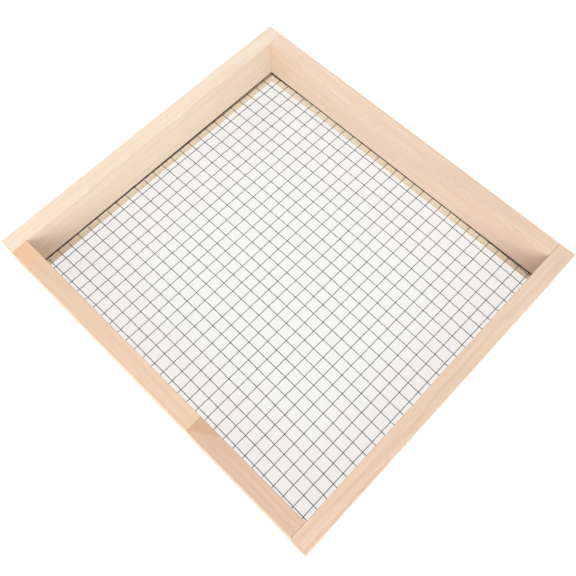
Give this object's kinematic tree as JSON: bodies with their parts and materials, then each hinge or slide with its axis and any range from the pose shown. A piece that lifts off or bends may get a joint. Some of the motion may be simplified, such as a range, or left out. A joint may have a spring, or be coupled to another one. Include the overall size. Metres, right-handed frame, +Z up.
{
  "type": "mesh-bottomed wooden tray",
  "caption": "Shallow rectangular pine frame with a coarse square woven wire mesh clamped across it between upright boards and flush battens.",
  "frame": {"origin": "centre of the underside, on the surface that the battens rest on", "axes": "+X along the long side, +Y towards the back board, +Z up out of the open tray"},
  "size_m": [0.463, 0.42, 0.0709],
  "materials": {
    "pine_left": "planed, unfinished",
    "pine_right": "planed, unfinished",
    "pine_back": "planed, unfinished",
    "pine_front_left": "planed, unfinished",
    "pine_front_right": "planed, unfinished",
    "pine_batten": "sawn, unfinished",
    "mesh_wire": "dull drawn wire",
    "nail_steel": "bright zinc plated",
    "staple_steel": "galvanised"
  },
  "bodies": {
    "root": {"left_board": "pine_left", "right_board": "pine_right", "back_board": "pine_back", "front_board_left": "pine_front_left", "front_board_right": "pine_front_right", "left_batten": "pine_batten", "right_batten": "pine_batten", "back_batten": "pine_batten", "front_batten": "pine_batten", "wires_lengthwise": "mesh_wire", "wires_crosswise": "mesh_wire", "corner_nails_back_left": "nail_steel", "corner_nails_back_right": "nail_steel", "corner_nails_front_left": "nail_steel", "corner_nails_front_right": "nail_steel", "staples_left": "staple_steel", "staples_right": "staple_steel", "staples_back": "staple_steel", "staples_front": "staple_steel", "batten_nails_left": "nail_steel", "batten_nails_right": "nail_steel", "batten_nails_back": "nail_steel", "batten_nails_front": "nail_steel"}
  },
  "joints": []
}
